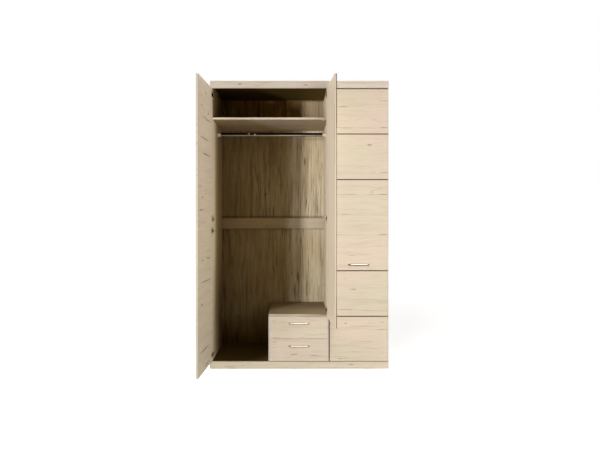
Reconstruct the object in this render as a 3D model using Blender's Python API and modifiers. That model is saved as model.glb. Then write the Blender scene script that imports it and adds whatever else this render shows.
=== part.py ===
"""Three-door wardrobe with a hanging space, a linen column and two drawers.

Lengths are metres, +Z is up and the front faces -Y. The origin is on the floor,
in the middle of the width, under the middle of the plinth board's thickness.
The left and middle doors are modelled shut and then swung open on their pins.
"""
import math

import bmesh
import bpy
from mathutils import Matrix, Vector

# Overall size
WIDTH = 1.340
HEIGHT = 2.160
COLUMNS = 3

# Boards of the carcass
BOARD = 0.016
PANEL_DEPTH = 0.555
TOP_THICKNESS = 0.025
FRONT_BOARD = 0.018
CORNICE_HEIGHT = 0.054
PLINTH_TOP = 0.054
BACK_BOARD = 0.003
BACK_INSET = 0.003
BACK_BOTTOM = 0.030
EDGE_EASING = 0.0006

# Clearances
SEAT_GAP = 0.0003
WELD_DISTANCE = 0.000003
OVERRUN = 0.004
REVEAL = 0.002
END_GAP = 0.004

# Fixed boards inside
HAT_SPACE_HEIGHT = 0.245
HAT_SHELF_RECESS = 0.010
TRAVERSE_LEVEL = 1.032
TRAVERSE_HEIGHT = 0.097
CHEST_TOP_LEVEL = 0.392

# Loose shelves in the linen column
LOWER_SHELF_COUNT = 2
UPPER_SHELF_COUNT = 1
LOOSE_SHELF_RECESS = 0.022
LOOSE_SHELF_BACK_GAP = 0.012
LOOSE_SHELF_SIDE_GAP = 0.0006

# Oval clothes rail and its end sockets
RAIL_HEIGHT = 0.030
RAIL_THICKNESS = 0.015
RAIL_WALL = 0.0012
RAIL_DROP = 0.074
RAIL_FROM_FRONT = 0.280
SOCKET_WALL = 0.0022
SOCKET_LENGTH = 0.024
SOCKET_FLANGE = 0.003
SOCKET_FLANGE_LIP = 0.006
OVAL_ARC_STEPS = 8

# Doors
DOOR_BOARD = 0.016
DOOR_GAP = 0.0025
FIRST_ROW_LINE = 0.3945
ROW_COUNT = 5
GROOVED_ROWS = (0, 1, 3, 4)
GROOVE_HEIGHT = 0.0055
GROOVE_DEPTH = 0.003
DOOR_OPEN_DEG = 93.5

# Door hinges: a cup with its pin in the door, an arm and a plate on the panel
CUP_RADIUS = 0.0175
CUP_EDGE = 0.003
CUP_HOLE_DEPTH = 0.0127
CUP_WALL = 0.0006
CUP_RIM_LIP = 0.0005
CUP_FLANGE = 0.001
CUP_WING_OFFSET = 0.006
CUP_WING_HALF_WIDTH = 0.0065
CUP_WING_HALF_LENGTH = 0.030
CUP_SIDES = 24
PIVOT_INSET = 0.0068
PIVOT_FORWARD = 0.012
PIVOT_RADIUS = 0.00095
PIVOT_PLAY = 0.0003
KNUCKLE_RADIUS = 0.0021
HOOK_HALF_WIDTH = 0.0035
HOOK_THICKNESS = 0.0018
HOOK_END_DEPTH = 0.006
ARM_RISE = 0.0072
ARM_THICKNESS = 0.0022
ARM_HALF_WIDTH = 0.007
ARM_START_DEPTH = 0.001
ARM_CRANK_START_DEPTH = 0.005
ARM_CRANK_END_DEPTH = 0.017
ARM_END_DEPTH = 0.058
PLATE_START_DEPTH = 0.024
PLATE_END_DEPTH = 0.054
PLATE_HALF_WIDTH = 0.008
WING_THICKNESS = 0.002
WING_START_DEPTH = 0.031
WING_END_DEPTH = 0.044
WING_HALF_LENGTH = 0.026
HINGE_END_INSET = 0.046
HINGE_PAIR_HALF_SPREAD = 0.045
ROUND_SIDES = 12

# Bow handles
HANDLE_LENGTH = 0.160
HANDLE_HEIGHT = 0.010
HANDLE_PROJECTION = 0.020
HANDLE_BAR = 0.005
HANDLE_FOOT = 0.007
HANDLE_SLANT = 0.018
HANDLE_EASING = 0.0008
DOOR_HANDLE_ABOVE_LINE = 0.046
DRAWER_HANDLE_DROP = 0.050

# Drawers
DRAWER_NAMES = ("lower", "upper")
DRAWER_SIDE = 0.012
DRAWER_SIDE_HEIGHT = 0.110
DRAWER_DEPTH = 0.450
DRAWER_BOX_RISE = 0.020
DRAWER_BOX_SIDE_GAP = 0.0015
DRAWER_BOTTOM = 0.003
DRAWER_BOTTOM_RISE = 0.010
DRAWER_GROOVE_DEPTH = 0.005
RUNNER_HEIGHT = 0.017
RUNNER_THICKNESS = 0.006
RUNNER_LENGTH = 0.440
RUNNER_RECESS = 0.003
RUNNER_PLAY = 0.0006

# Planes and lines that the boards share
FRONT = FRONT_BOARD / 2 + SEAT_GAP
BACK = FRONT + PANEL_DEPTH
SIDE_OUT = WIDTH / 2
SIDE_IN = SIDE_OUT - BOARD
PITCH = WIDTH / COLUMNS
PARTITION_X = SIDE_OUT - PITCH
CHEST_SIDE_X = PARTITION_X - PITCH
PARTITION_LEFT = PARTITION_X - BOARD / 2
PARTITION_RIGHT = PARTITION_X + BOARD / 2
CHEST_SIDE_LEFT = CHEST_SIDE_X - BOARD / 2
CHEST_SIDE_RIGHT = CHEST_SIDE_X + BOARD / 2
CEILING = HEIGHT - TOP_THICKNESS
SIDE_TOP = CEILING - SEAT_GAP
HAT_SHELF_LEVEL = CEILING - HAT_SPACE_HEIGHT - BOARD
BOTTOM_UNDER = PLINTH_TOP - BOARD
DOOR_INNER = FRONT - DOOR_GAP
DOOR_OUTER = DOOR_INNER - DOOR_BOARD
DOOR_BOTTOM = PLINTH_TOP + END_GAP
DOOR_TOP = HEIGHT - CORNICE_HEIGHT - END_GAP
ROW_PITCH = (DOOR_TOP - FIRST_ROW_LINE) / ROW_COUNT
DOOR_MIDDLE = (DOOR_TOP + DOOR_BOTTOM) / 2
LINEN_FIXED_LEVEL = DOOR_MIDDLE - BOARD / 2
DRAWER_FRONTS_TOP = FIRST_ROW_LINE - END_GAP / 2
SHORT_DOOR_BOTTOM = FIRST_ROW_LINE + END_GAP / 2
DRAWER_FRONT_HEIGHT = (DRAWER_FRONTS_TOP - DOOR_BOTTOM - END_GAP) / 2
PIVOT_Y = FRONT - PIVOT_FORWARD


def clear_scene():
    """Remove every object, so that the script can run again."""
    for item in list(bpy.data.objects):
        bpy.data.objects.remove(item)


def make_collection(name):
    """Return a new collection linked to the scene."""
    group = bpy.data.collections.new(name)
    bpy.context.scene.collection.children.link(group)
    return group


def make_material(name, colour, roughness, metallic=0.0):
    """Principled material with one plain colour."""
    material = bpy.data.materials.new(name)
    material.use_nodes = True
    shader = material.node_tree.nodes["Principled BSDF"]
    shader.inputs["Base Color"].default_value = (*colour, 1.0)
    shader.inputs["Roughness"].default_value = roughness
    shader.inputs["Metallic"].default_value = metallic
    return material


clear_scene()
PARTS = make_collection("wardrobe")
CUTTERS = make_collection("cutters")

# Colour, roughness and metalness of each finish
OAK = ((0.78, 0.66, 0.50), 0.6)
OAK_INSIDE = ((0.62, 0.50, 0.35), 0.65)
BACK_FACE = ((0.55, 0.44, 0.30), 0.75)
STEEL = ((0.70, 0.69, 0.66), 0.3, 1.0)
CHROME = ((0.62, 0.62, 0.62), 0.15, 1.0)
ZINC = ((0.45, 0.45, 0.44), 0.35, 1.0)
WHITE_PLASTIC = ((0.80, 0.79, 0.76), 0.45)


def move_to(item, group):
    """Put an object in one collection only."""
    for old in list(item.users_collection):
        old.objects.unlink(item)
    group.objects.link(item)


def finish_part(item, name, material_values):
    """Name a part, give it its own material and file it under the wardrobe."""
    item.name = name
    item.data.name = name
    item.data.materials.clear()
    item.data.materials.append(make_material(name, *material_values))
    move_to(item, PARTS)
    return item


def mesh_object(name, shape):
    """Turn a bmesh into an object in the scene."""
    mesh = bpy.data.meshes.new(name)
    shape.to_mesh(mesh)
    shape.free()
    item = bpy.data.objects.new(name, mesh)
    bpy.context.scene.collection.objects.link(item)
    return item


def plain_box(name, low, high):
    """Box between two corners, with its scale applied."""
    middle = [(a + b) / 2 for a, b in zip(low, high)]
    bpy.ops.mesh.primitive_cube_add(size=1, location=middle)
    item = bpy.context.object
    item.name = name
    item.scale = [b - a for a, b in zip(low, high)]
    bpy.ops.object.transform_apply(location=False, rotation=False, scale=True)
    return item


def ease_edges(item, width):
    """Narrow bevel along the sharp edges."""
    bevel = item.modifiers.new("eased edges", "BEVEL")
    bevel.width = width
    bevel.segments = 1
    bevel.limit_method = "ANGLE"


def board(name, low, high, material_values, easing=EDGE_EASING):
    """Flat board with eased edges."""
    item = plain_box(name, low, high)
    ease_edges(item, easing)
    return finish_part(item, name, material_values)


def as_cutter(item):
    """File an object with the cutters, which are drawn as wires."""
    item.hide_render = True
    item.display_type = "WIRE"
    move_to(item, CUTTERS)
    return item


def boolean(item, other, operation):
    """Cut or join with an exact Boolean, the other piece being kept as a cutter."""
    as_cutter(other)
    step = item.modifiers.new(other.name, "BOOLEAN")
    step.operation = operation
    step.solver = "EXACT"
    step.object = other


def cylinders(name, radius, length, places, turn, sides):
    """Cylinders with their middles at the given places, their axes turned from Z."""
    shape = bmesh.new()
    for place in places:
        bmesh.ops.create_cone(shape, cap_ends=True, segments=sides, radius1=radius,
                              radius2=radius, depth=length,
                              matrix=Matrix.Translation(place) @ turn)
    return mesh_object(name, shape)


UPRIGHT = Matrix.Identity(4)
ALONG_X = Matrix.Rotation(math.pi / 2, 4, "Y")
ALONG_Y = Matrix.Rotation(-math.pi / 2, 4, "X")


def extrusion(name, outlines, half_length):
    """Mesh of closed flat outlines in XY, extruded both ways along Z."""
    curve = bpy.data.curves.new(name, "CURVE")
    curve.dimensions = "2D"
    curve.fill_mode = "BOTH"
    curve.extrude = half_length
    for outline in outlines:
        spline = curve.splines.new("POLY")
        spline.points.add(len(outline) - 1)
        for point, (x, y) in zip(spline.points, outline):
            point.co = (x, y, 0, 1)
        spline.use_cyclic_u = True
    flat = bpy.data.objects.new(name, curve)
    bpy.context.scene.collection.objects.link(flat)
    mesh = evaluated_mesh(flat)
    bpy.data.objects.remove(flat)
    item = bpy.data.objects.new(name, mesh)
    bpy.context.scene.collection.objects.link(item)
    return item


def evaluated_mesh(item):
    """Welded mesh of an object with its modifiers applied."""
    bpy.context.view_layer.update()
    graph = bpy.context.evaluated_depsgraph_get()
    mesh = bpy.data.meshes.new_from_object(item.evaluated_get(graph))
    shape = bmesh.new()
    shape.from_mesh(mesh)
    bmesh.ops.remove_doubles(shape, verts=shape.verts, dist=WELD_DISTANCE)
    bmesh.ops.recalc_face_normals(shape, faces=shape.faces)
    shape.to_mesh(mesh)
    shape.free()
    return mesh


def mirrored(mesh):
    """Copy of a mesh, mirrored left to right with its faces still pointing out."""
    shape = bmesh.new()
    shape.from_mesh(mesh)
    bmesh.ops.transform(shape, matrix=Matrix.Scale(-1, 4, (1, 0, 0)), verts=shape.verts)
    bmesh.ops.reverse_faces(shape, faces=shape.faces)
    copy = bpy.data.meshes.new(mesh.name)
    shape.to_mesh(copy)
    shape.free()
    return copy


def with_material(mesh, name, material_values):
    """Give a shared mesh its one material."""
    mesh.name = name
    mesh.materials.clear()
    mesh.materials.append(make_material(name, *material_values))
    return mesh


def copy_of(mesh, name, place):
    """One of several like pieces, which share their mesh and its material."""
    item = bpy.data.objects.new(name, mesh)
    item.location = place
    PARTS.objects.link(item)
    return item


def carried_by(carrier, *items):
    """Parent parts, and the cutters of their Booleans, to an empty that isn't turned yet."""
    for item in items:
        item.parent = carrier
        item.location = item.location - carrier.location
        for step in item.modifiers:
            if step.type == "BOOLEAN":
                carried_by(carrier, step.object)


def make_carrier(name, place):
    """Empty on the axis of a moving body."""
    carrier = bpy.data.objects.new(name, None)
    carrier.location = place
    PARTS.objects.link(carrier)
    return carrier


# Carcass boards

def make_carcass():
    """Sides, partition, top, bottom, cornice and plinths."""
    board("left_side_panel", (-SIDE_OUT, FRONT, 0), (-SIDE_IN, BACK, SIDE_TOP), OAK)
    board("right_side_panel", (SIDE_IN, FRONT, 0), (SIDE_OUT, BACK, SIDE_TOP), OAK)
    board("partition_panel", (PARTITION_LEFT, FRONT, PLINTH_TOP + SEAT_GAP),
          (PARTITION_RIGHT, BACK, SIDE_TOP), OAK_INSIDE)
    board("top_panel", (-SIDE_OUT, FRONT, CEILING), (SIDE_OUT, BACK, HEIGHT), OAK)
    board("bottom_panel", (-SIDE_IN + SEAT_GAP, FRONT, BOTTOM_UNDER),
          (SIDE_IN - SEAT_GAP, BACK, PLINTH_TOP), OAK_INSIDE)
    board("cornice_rail", (-SIDE_OUT, -FRONT_BOARD / 2, HEIGHT - CORNICE_HEIGHT),
          (SIDE_OUT, FRONT_BOARD / 2, HEIGHT), OAK)
    board("plinth_front", (-SIDE_OUT, -FRONT_BOARD / 2, 0),
          (SIDE_OUT, FRONT_BOARD / 2, PLINTH_TOP), OAK)
    board("plinth_rear", (-SIDE_IN + SEAT_GAP, BACK - BOARD, 0),
          (SIDE_IN - SEAT_GAP, BACK, BOTTOM_UNDER - SEAT_GAP), OAK_INSIDE)


def make_back():
    """One folding back board on the rear edges."""
    half_width = SIDE_OUT - BACK_INSET
    front_face = BACK + SEAT_GAP
    board("back_panel", (-half_width, front_face, BACK_BOTTOM),
          (half_width, front_face + BACK_BOARD, HEIGHT - BACK_INSET), BACK_FACE)


def make_inner_boards():
    """Hat shelf, traverse, chest boards and the fixed linen shelf."""
    shelf_front = FRONT + HAT_SHELF_RECESS
    board("hat_shelf", (-SIDE_IN + SEAT_GAP, shelf_front, HAT_SHELF_LEVEL),
          (PARTITION_LEFT - SEAT_GAP, BACK, HAT_SHELF_LEVEL + BOARD), OAK_INSIDE)
    board("back_traverse", (-SIDE_IN + SEAT_GAP, BACK - BOARD, TRAVERSE_LEVEL),
          (PARTITION_LEFT - SEAT_GAP, BACK, TRAVERSE_LEVEL + TRAVERSE_HEIGHT), OAK_INSIDE)
    board("chest_side_panel", (CHEST_SIDE_LEFT, FRONT, PLINTH_TOP + SEAT_GAP),
          (CHEST_SIDE_RIGHT, BACK, CHEST_TOP_LEVEL - SEAT_GAP), OAK)
    board("chest_top_panel", (CHEST_SIDE_LEFT, FRONT, CHEST_TOP_LEVEL),
          (PARTITION_LEFT - SEAT_GAP, BACK, CHEST_TOP_LEVEL + BOARD), OAK_INSIDE)
    board("linen_shelf_fixed", (PARTITION_RIGHT + SEAT_GAP, shelf_front, LINEN_FIXED_LEVEL),
          (SIDE_IN - SEAT_GAP, BACK, LINEN_FIXED_LEVEL + BOARD), OAK_INSIDE)


# Loose shelves

def spread(low, high, count):
    """Undersides of boards that split a height into equal compartments."""
    clear = (high - low - count * BOARD) / (count + 1)
    return [low + clear + index * (clear + BOARD) for index in range(count)]


def make_loose_shelves():
    """Loose shelves of the linen column."""
    levels = spread(PLINTH_TOP, LINEN_FIXED_LEVEL, LOWER_SHELF_COUNT)
    levels += spread(LINEN_FIXED_LEVEL + BOARD, CEILING, UPPER_SHELF_COUNT)
    for number, level in enumerate(levels, start=1):
        board(f"linen_shelf_{number}",
              (PARTITION_RIGHT + LOOSE_SHELF_SIDE_GAP, FRONT + LOOSE_SHELF_RECESS, level),
              (SIDE_IN - LOOSE_SHELF_SIDE_GAP, BACK - LOOSE_SHELF_BACK_GAP, level + BOARD),
              OAK_INSIDE)


# Clothes rail

def oval(height, thickness):
    """Outline with two straight sides and round ends, long in X."""
    radius = thickness / 2
    straight = height / 2 - radius
    points = []
    for side in (1, -1):
        for step in range(OVAL_ARC_STEPS + 1):
            angle = math.pi * step / OVAL_ARC_STEPS
            points.append((side * (straight + radius * math.sin(angle)),
                           side * radius * math.cos(angle)))
    return points


def make_rail():
    """Oval tube across the hanging space and the socket at each end."""
    left_face = -SIDE_IN
    right_face = PARTITION_LEFT
    y = FRONT + RAIL_FROM_FRONT
    z = HAT_SHELF_LEVEL - RAIL_DROP
    flange = SEAT_GAP + SOCKET_FLANGE
    rail_left = left_face + flange + SEAT_GAP
    rail_right = right_face - flange - SEAT_GAP
    tube = [oval(RAIL_HEIGHT, RAIL_THICKNESS),
            oval(RAIL_HEIGHT - 2 * RAIL_WALL, RAIL_THICKNESS - 2 * RAIL_WALL)]
    rail = extrusion("clothes_rail", tube, (rail_right - rail_left) / 2)
    rail.data.transform(ALONG_X)
    rail.location = ((rail_left + rail_right) / 2, y, z)
    finish_part(rail, "clothes_rail", CHROME)

    bore = [RAIL_HEIGHT + 2 * SEAT_GAP, RAIL_THICKNESS + 2 * SEAT_GAP]
    collar_outline = oval(*[size + 2 * SOCKET_WALL for size in bore])
    flange_outline = oval(*[size + 2 * (SOCKET_WALL + SOCKET_FLANGE_LIP) for size in bore])
    collar_half = SOCKET_LENGTH / 2
    for side, face, inward in (("left", left_face, 1), ("right", right_face, -1)):
        name = f"rail_socket_{side}"
        start = face + inward * SEAT_GAP
        socket = extrusion(name, [flange_outline], SOCKET_FLANGE / 2)
        socket.data.transform(ALONG_X)
        socket.location = (start + inward * SOCKET_FLANGE / 2, y, z)
        collar = extrusion(f"{name}_collar", [collar_outline], collar_half)
        collar.data.transform(ALONG_X)
        collar.location = (start + inward * (collar_half + SOCKET_FLANGE / 2), y, z)
        hollow = extrusion(f"{name}_hollow", [oval(*bore)], SOCKET_LENGTH)
        hollow.data.transform(ALONG_X)
        hollow.location = (start + inward * (SOCKET_FLANGE + SOCKET_LENGTH), y, z)
        boolean(socket, collar, "UNION")
        boolean(socket, hollow, "DIFFERENCE")
        finish_part(socket, name, ZINC)


# Hinges. Their own frame has the pin at the origin, +X across the door away from
# its hinge edge, +Y into the wardrobe and +Z up, with the door shut.

CUP_X = CUP_EDGE + CUP_RADIUS - PIVOT_INSET
INNER_FACE_Y = PIVOT_FORWARD - DOOR_GAP


def offset_line(points, distance):
    """Points of a line moved sideways, with mitred corners."""
    result = []
    for index, point in enumerate(points):
        before = points[max(index - 1, 0)]
        after = points[min(index + 1, len(points) - 1)]
        sides = []
        for start, end in ((before, point), (point, after)):
            step = Vector((end[0] - start[0], end[1] - start[1]))
            if step.length > 0:
                step.normalize()
                sides.append(Vector((-step.y, step.x)))
        mitre = sum(sides, Vector((0, 0))) / len(sides)
        result.append(tuple(Vector(point) + mitre * (distance / mitre.length_squared)))
    return result


def ribbon(points, thickness):
    """Closed outline of a bent strip along a line."""
    one_side = offset_line(points, -thickness / 2)
    other_side = offset_line(points, thickness / 2)
    return one_side + other_side[::-1]


def circle(radius, sides):
    """Closed outline of a regular polygon."""
    return [(radius * math.cos(2 * math.pi * k / sides), radius * math.sin(2 * math.pi * k / sides))
            for k in range(sides)]


def cup_mesh():
    """Cup with its rim, two wings and the fixed pin across it."""
    radius = CUP_RADIUS - SEAT_GAP
    floor = INNER_FACE_Y - CUP_HOLE_DEPTH + SEAT_GAP
    seat = INNER_FACE_Y + SEAT_GAP
    top = seat + CUP_FLANGE
    cup = cylinders("cup", radius, top - floor, [(CUP_X, (top + floor) / 2, 0)], ALONG_Y,
                    CUP_SIDES)
    rim = cylinders("cup_rim", radius + CUP_RIM_LIP, CUP_FLANGE,
                    [(CUP_X, seat + CUP_FLANGE / 2, 0)], ALONG_Y, CUP_SIDES)
    wing_x = CUP_X + CUP_WING_OFFSET
    wings = plain_box("cup_wings",
                      (wing_x - CUP_WING_HALF_WIDTH, seat, -CUP_WING_HALF_LENGTH),
                      (wing_x + CUP_WING_HALF_WIDTH, top, CUP_WING_HALF_LENGTH))
    hollow_floor = floor + CUP_WALL
    hollow = cylinders("cup_hollow", radius - CUP_WALL, top + OVERRUN - hollow_floor,
                       [(CUP_X, (top + OVERRUN + hollow_floor) / 2, 0)], ALONG_Y, CUP_SIDES)
    flat_radius = radius * math.cos(math.pi / CUP_SIDES)
    pin_half = math.sqrt(flat_radius ** 2 - (CUP_X + PIVOT_RADIUS) ** 2)
    pin = cylinders("cup_pin", PIVOT_RADIUS, 2 * pin_half, [(0, 0, 0)], UPRIGHT, ROUND_SIDES)
    boolean(cup, rim, "UNION")
    boolean(cup, wings, "UNION")
    boolean(cup, hollow, "DIFFERENCE")
    boolean(cup, pin, "UNION")
    return finished_mesh(cup, rim, wings, hollow, pin)


def arm_pieces(panel_face_x):
    """Arm over the panel's inner face, cranked where the panel is a shared one, and its hook."""
    reach = BOARD - REVEAL - PIVOT_INSET + ARM_RISE
    hook_end = PIVOT_FORWARD + HOOK_END_DEPTH
    line = ribbon([(0, 0), (reach, 0), (reach, hook_end)], HOOK_THICKNESS)
    neck = math.asin(HOOK_THICKNESS / 2 / KNUCKLE_RADIUS)
    knuckle = []
    for step in range(ROUND_SIDES + 1):
        angle = neck + (2 * math.pi - 2 * neck) * step / ROUND_SIDES
        knuckle.append((KNUCKLE_RADIUS * math.cos(angle), KNUCKLE_RADIUS * math.sin(angle)))
    hole = circle(PIVOT_RADIUS + PIVOT_PLAY, ROUND_SIDES)
    hook = extrusion("arm_hook", [knuckle + line[1:-1], hole], HOOK_HALF_WIDTH)
    arm_x = panel_face_x + ARM_RISE
    path = [(reach, PIVOT_FORWARD + ARM_START_DEPTH),
            (reach, PIVOT_FORWARD + ARM_CRANK_START_DEPTH),
            (arm_x, PIVOT_FORWARD + ARM_CRANK_END_DEPTH),
            (arm_x, PIVOT_FORWARD + ARM_END_DEPTH)]
    arm = extrusion("arm_body", [ribbon(path, ARM_THICKNESS)], ARM_HALF_WIDTH)
    return arm, hook


def hinge_arm_mesh(panel_face_x):
    """Arm clipped on its cross plate, which is screwed to the panel."""
    low = panel_face_x + SEAT_GAP
    high = panel_face_x + ARM_RISE
    arm, hook = arm_pieces(panel_face_x)
    block = plain_box("plate_block",
                      (low, PIVOT_FORWARD + PLATE_START_DEPTH, -PLATE_HALF_WIDTH),
                      (high, PIVOT_FORWARD + PLATE_END_DEPTH, PLATE_HALF_WIDTH))
    wings = plain_box("plate_wings",
                      (low, PIVOT_FORWARD + WING_START_DEPTH, -WING_HALF_LENGTH),
                      (low + WING_THICKNESS, PIVOT_FORWARD + WING_END_DEPTH, WING_HALF_LENGTH))
    for other in (hook, block, wings):
        boolean(arm, other, "UNION")
    return finished_mesh(arm, hook, block, wings)


def finished_mesh(item, *cutters):
    """Evaluated mesh of an object, which is then removed with its cutters."""
    mesh = evaluated_mesh(item)
    for used in (item, *cutters):
        bpy.data.objects.remove(used)
    return mesh


# Handles

def handle_mesh():
    """Bow handle with slanted legs, long in X and standing out to -Y from Y zero."""
    half = HANDLE_LENGTH / 2
    leg_share = (HANDLE_PROJECTION - HANDLE_BAR) / HANDLE_PROJECTION
    outer = [(half, 0), (half - HANDLE_SLANT, -HANDLE_PROJECTION)]
    inner = [(half - HANDLE_FOOT, 0),
             (half - HANDLE_FOOT - HANDLE_SLANT * leg_share, HANDLE_BAR - HANDLE_PROJECTION)]
    left_outer = [(-x, y) for x, y in outer]
    left_inner = [(-x, y) for x, y in inner]
    outline = outer + left_outer[::-1] + left_inner + inner[::-1]
    bow = extrusion("bow", [outline], HANDLE_HEIGHT / 2)
    ease_edges(bow, HANDLE_EASING)
    return with_material(finished_mesh(bow), "handle", STEEL)


# Doors

def make_door(name, column, hinge_side, bottom, hinge_levels, panel_face, meshes):
    """Door of one column, hung on its left (1) or right (-1) edge, with its hinges."""
    left = -SIDE_OUT + column * PITCH + REVEAL
    right = left + PITCH - 2 * REVEAL
    hinge_edge = left if hinge_side > 0 else right
    pivot_x = hinge_edge + hinge_side * PIVOT_INSET
    carrier = make_carrier(f"{name}_hinge_axis", (pivot_x, PIVOT_Y, 0))

    panel = board(f"{name}_panel", (left, DOOR_OUTER, bottom), (right, DOOR_INNER, DOOR_TOP), OAK)
    for row in GROOVED_ROWS:
        line = FIRST_ROW_LINE + row * ROW_PITCH
        if line > bottom:
            groove = plain_box(f"{name}_groove_{row}",
                               (left - OVERRUN, DOOR_OUTER - OVERRUN, line - GROOVE_HEIGHT / 2),
                               (right + OVERRUN, DOOR_OUTER + GROOVE_DEPTH,
                                line + GROOVE_HEIGHT / 2))
            boolean(panel, groove, "DIFFERENCE")

    hole_low = DOOR_INNER - CUP_HOLE_DEPTH
    hole_high = DOOR_INNER + OVERRUN
    cup_x = pivot_x + hinge_side * CUP_X
    places = [(cup_x, (hole_low + hole_high) / 2, z) for z in hinge_levels]
    holes = cylinders(f"{name}_cup_holes", CUP_RADIUS, hole_high - hole_low, places, ALONG_Y,
                      CUP_SIDES)
    boolean(panel, holes, "DIFFERENCE")

    arm = hinge_arm_mesh(hinge_side * (panel_face - pivot_x))
    if hinge_side < 0:
        arm = mirrored(arm)
    arm = with_material(arm, f"{name}_hinge_arm", STEEL)
    cups = []
    for number, level in enumerate(sorted(hinge_levels), start=1):
        place = (pivot_x, PIVOT_Y, level)
        cups.append(copy_of(meshes["cup"][hinge_side], f"{name}_hinge_cup_{number}", place))
        copy_of(arm, f"{name}_hinge_arm_{number}", place)

    handle_level = FIRST_ROW_LINE + ROW_PITCH + DOOR_HANDLE_ABOVE_LINE
    bow = copy_of(meshes["handle"], f"{name}_handle",
                  ((left + right) / 2, DOOR_OUTER - SEAT_GAP, handle_level))
    carried_by(carrier, panel, bow, *cups)
    return carrier


def make_doors(meshes):
    """Three doors, of which the left and the middle one stand open."""
    top = DOOR_TOP - HINGE_END_INSET
    pair = (DOOR_MIDDLE + HINGE_PAIR_HALF_SPREAD, DOOR_MIDDLE - HINGE_PAIR_HALF_SPREAD)
    tall = (top, *pair, DOOR_BOTTOM + HINGE_END_INSET)
    short = (top, pair[0], SHORT_DOOR_BOTTOM + HINGE_END_INSET)
    left = make_door("left_door", 0, 1, DOOR_BOTTOM, tall, -SIDE_IN, meshes)
    centre = make_door("middle_door", 1, -1, SHORT_DOOR_BOTTOM, short, PARTITION_LEFT, meshes)
    make_door("right_door", 2, -1, DOOR_BOTTOM, tall, SIDE_IN, meshes)
    left.rotation_euler.z = -math.radians(DOOR_OPEN_DEG)
    centre.rotation_euler.z = math.radians(DOOR_OPEN_DEG)


# Drawers

def make_drawer(name, bottom, handle):
    """External front, a folded wrap for the other three sides, a bottom and two runners."""
    left = CHEST_SIDE_X + REVEAL
    right = PARTITION_X - REVEAL
    top = bottom + DRAWER_FRONT_HEIGHT
    middle_x = (left + right) / 2
    carrier = make_carrier(f"{name}_drawer_slide_axis", (middle_x, DOOR_INNER, bottom))
    front = board(f"{name}_drawer_front", (left, DOOR_OUTER, bottom), (right, DOOR_INNER, top), OAK)

    box_left = CHEST_SIDE_RIGHT + DRAWER_BOX_SIDE_GAP
    box_right = PARTITION_LEFT - DRAWER_BOX_SIDE_GAP
    inner_left = box_left + DRAWER_SIDE
    inner_right = box_right - DRAWER_SIDE
    box_front = DOOR_INNER + SEAT_GAP
    box_back = box_front + DRAWER_DEPTH
    low = bottom + DRAWER_BOX_RISE
    high = low + DRAWER_SIDE_HEIGHT
    outline = [(box_left, box_front), (inner_left, box_front),
               (inner_left, box_back - DRAWER_SIDE), (inner_right, box_back - DRAWER_SIDE),
               (inner_right, box_front), (box_right, box_front),
               (box_right, box_back), (box_left, box_back)]
    wrap = extrusion(f"{name}_drawer_wrap", [outline], DRAWER_SIDE_HEIGHT / 2)
    wrap.location.z = (low + high) / 2
    ease_edges(wrap, EDGE_EASING)
    finish_part(wrap, wrap.name, OAK_INSIDE)

    tongue = DRAWER_GROOVE_DEPTH - SEAT_GAP
    floor = low + DRAWER_BOTTOM_RISE
    inner_back = box_back - DRAWER_SIDE
    base = board(f"{name}_drawer_bottom",
                 (inner_left - tongue, DOOR_INNER - tongue, floor),
                 (inner_right + tongue, inner_back + tongue, floor + DRAWER_BOTTOM),
                 BACK_FACE, EDGE_EASING / 2)
    for panel in (wrap, front):
        groove = plain_box(f"{panel.name}_groove",
                           (inner_left - DRAWER_GROOVE_DEPTH, DOOR_INNER - DRAWER_GROOVE_DEPTH,
                            floor - SEAT_GAP),
                           (inner_right + DRAWER_GROOVE_DEPTH, inner_back + DRAWER_GROOVE_DEPTH,
                            floor + DRAWER_BOTTOM + SEAT_GAP))
        boolean(panel, groove, "DIFFERENCE")

    runner_top = (low + high) / 2 + RUNNER_HEIGHT / 2
    runner_low = runner_top - RUNNER_HEIGHT
    runner_front = FRONT + RUNNER_RECESS
    reach = SEAT_GAP + RUNNER_THICKNESS
    for side, face, inward in (("left", CHEST_SIDE_RIGHT, 1), ("right", PARTITION_LEFT, -1)):
        near = face + inward * SEAT_GAP
        far = face + inward * reach
        board(f"{name}_runner_{side}",
              (min(near, far), runner_front, runner_low),
              (max(near, far), runner_front + RUNNER_LENGTH, runner_top), WHITE_PLASTIC)
        groove_far = far + inward * RUNNER_PLAY
        slot = plain_box(f"{name}_runner_slot_{side}",
                         (min(face, groove_far), DOOR_INNER, runner_low - RUNNER_PLAY),
                         (max(face, groove_far), box_back + OVERRUN, runner_top + SEAT_GAP))
        boolean(wrap, slot, "DIFFERENCE")
    bow = copy_of(handle, f"{name}_drawer_handle",
                  (middle_x, DOOR_OUTER - SEAT_GAP, top - DRAWER_HANDLE_DROP))
    carried_by(carrier, front, wrap, base, bow)


def make_drawers(handle):
    """Two drawers with equal fronts under the chest top."""
    for index, name in enumerate(DRAWER_NAMES):
        make_drawer(name, DOOR_BOTTOM + index * (DRAWER_FRONT_HEIGHT + END_GAP), handle)


def main():
    """Build the whole wardrobe."""
    make_carcass()
    make_back()
    make_inner_boards()
    make_loose_shelves()
    make_rail()
    cup = with_material(cup_mesh(), "hinge_cup", STEEL)
    meshes = {"handle": handle_mesh(), "cup": {1: cup, -1: mirrored(cup)}}
    make_doors(meshes)
    make_drawers(meshes["handle"])


main()
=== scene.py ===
"""Looks of the three-door wardrobe: materials, small fittings, studio and camera."""
import math

import bmesh
import bpy
from mathutils import Matrix, Vector


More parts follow.
